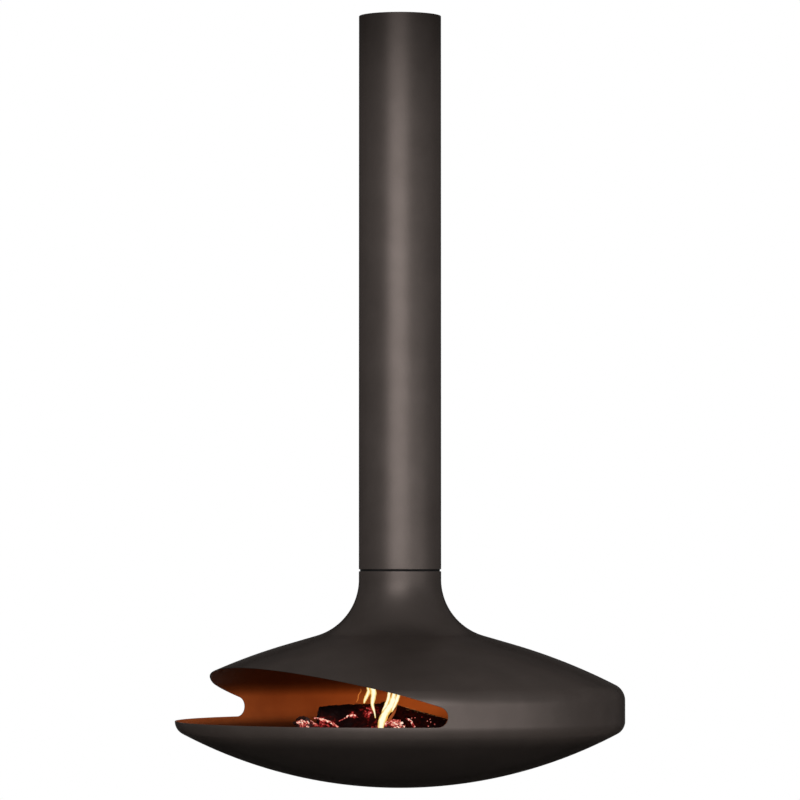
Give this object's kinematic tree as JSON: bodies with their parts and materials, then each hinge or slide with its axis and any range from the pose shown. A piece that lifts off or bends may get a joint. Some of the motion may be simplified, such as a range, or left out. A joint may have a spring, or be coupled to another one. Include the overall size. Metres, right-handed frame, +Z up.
{
  "type": "hanging fireplace",
  "caption": "Round open hearth with a spun-steel hood and bowl, hung from an insulated flue on a ball race so that it turns, with a throat damper, fire grate, ash pan and logs.",
  "frame": {"origin": "centre of the top face of the hanger ring, on the flue's axis, where the ceiling bracket bolts on", "axes": "+Z up along the flue's axis; the mouth of the hearth faces -Y at rest; +X is to the right of someone who looks into the mouth"},
  "size_m": [1.25, 1.25, 2.148],
  "materials": {
    "hearth_paint": "dark warm grey high-temperature paint, satin",
    "inner_finish": "burnt orange high-temperature finish, matt, as inside the hearth",
    "zinc_steel": "machined and zinc-plated steel",
    "flue_steel": "stainless steel tube",
    "lagging": "pressed ceramic wool",
    "seal_rope": "braided glass-fibre rope",
    "bronze": "plain bronze, machined",
    "ball_steel": "polished bearing steel",
    "black_steel": "blackened steel screws and lever",
    "damper_steel": "heat-darkened steel plate",
    "cast_iron": "raw grey cast iron, sooted",
    "pan_steel": "sheet steel, heat-darkened",
    "charred_wood": "charred bark and cracked charcoal",
    "embers": "glowing charcoal over grey ash"
  },
  "bodies": {
    "flue": {"flue_casing": "hearth_paint", "hanger_ring": "zinc_steel", "weld_nuts": "zinc_steel", "flue_liner": "flue_steel", "flue_lagging": "lagging", "lagging_stop": "zinc_steel", "fixed_race": "zinc_steel"},
    "cage": {"ball_cage": "bronze", "bearing_balls": "ball_steel"},
    "hearth": {"spigot": "zinc_steel", "carrier_ring": "black_steel", "clamp_ring": "zinc_steel", "clamp_screws": "black_steel", "seal_rope": "seal_rope", "damper_collar": "flue_steel", "smoke_shelf": "inner_finish", "damper_bushes": "bronze", "hood": "hearth_paint", "bowl": "hearth_paint", "grate_stand": "inner_finish", "fire_grate": "cast_iron", "ash_pan": "pan_steel", "pan_handle": "black_steel", "ember_bed": "embers", "log_left": "charred_wood", "log_right": "charred_wood", "log_under": "charred_wood", "log_back": "charred_wood", "log_front": "charred_wood"},
    "damper": {"damper_spindle": "damper_steel", "damper_flap": "damper_steel", "flap_screws": "black_steel", "damper_lever": "black_steel", "lever_nut": "zinc_steel", "spindle_clip": "black_steel"}
  },
  "joints": [
    {"name": "hearth_turn", "type": "hinge", "parent": "flue", "child": "hearth", "pos_m": [0, 0, -1.5309], "axis": [0, 0, 1], "continuous": true},
    {"name": "cage_turn", "type": "hinge", "parent": "flue", "child": "cage", "pos_m": [0, 0, -1.5309], "axis": [0, 0, 1], "continuous": true},
    {"name": "damper_turn", "type": "hinge", "parent": "hearth", "child": "damper", "pos_m": [0, 0, -1.6935], "axis": [1, 0, 0], "range_deg": [-90, 0]}
  ],
  "couplings": [
    {"joint": "cage_turn", "follows": "hearth_turn", "ratio": 0.5}
  ]
}
